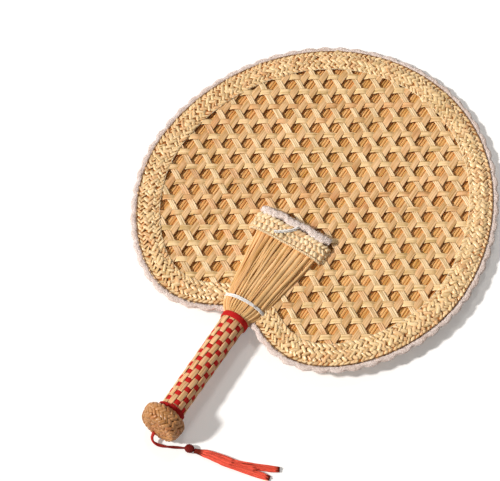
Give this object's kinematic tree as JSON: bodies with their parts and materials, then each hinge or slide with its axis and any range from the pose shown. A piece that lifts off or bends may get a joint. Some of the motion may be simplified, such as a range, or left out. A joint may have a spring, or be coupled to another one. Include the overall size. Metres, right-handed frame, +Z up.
{
  "type": "woven straw hand fan",
  "caption": "Rounded two-layer straw hand fan with an open woven front, plaited border, splayed straw braces, ribbon-woven handle, plaited knob and a swinging silk tassel.",
  "frame": {"origin": "centre of the fan's bounding box, tassel left out, on the plane it lies on", "axes": "+Y along the handle towards the blade's tip, +X across the blade to the right seen from the front, +Z up, out of the front"},
  "size_m": [0.3154, 0.4333, 0.036],
  "materials": {
    "mat_straw": "satin",
    "weave_straw": "satin",
    "border_plait": "satin",
    "pale_trim": "matte",
    "brace_straw": "satin",
    "white_thread": "matte",
    "bamboo": "satin",
    "red_ribbon": "satin",
    "grip_straw": "satin",
    "red_cord": "matte",
    "knob_plait": "satin",
    "red_silk": "satin"
  },
  "bodies": {
    "fan": {"straw_mat": "mat_straw", "front_lattice": "weave_straw", "front_border_outer": "border_plait", "front_border_middle": "border_plait", "front_border_inner": "border_plait", "back_border_outer": "border_plait", "back_border_middle": "border_plait", "back_border_inner": "border_plait", "edge_trim": "pale_trim", "front_brace": "brace_straw", "back_brace": "brace_straw", "front_brace_band": "border_plait", "back_brace_band": "border_plait", "front_brace_trim": "pale_trim", "back_brace_trim": "pale_trim", "neck_thread": "white_thread", "core_rod": "bamboo", "straw_filler": "brace_straw", "red_ribbon": "red_ribbon", "straw_sleeve": "grip_straw", "neck_tape": "red_ribbon", "lower_binding": "red_cord", "knob_shell": "knob_plait", "knob_wad": "mat_straw", "knob_button": "knob_plait", "tassel_cord": "red_cord"},
    "tassel": {"tassel_knot": "red_cord", "tassel_skirt": "red_silk"}
  },
  "joints": [
    {"name": "tassel_swing", "type": "hinge", "parent": "fan", "child": "tassel", "pos_m": [-0.0025, -0.22197, 0.001], "axis": [0, 0, 1], "range_deg": [-180, 0], "deforming": ["tassel_cord"]}
  ]
}
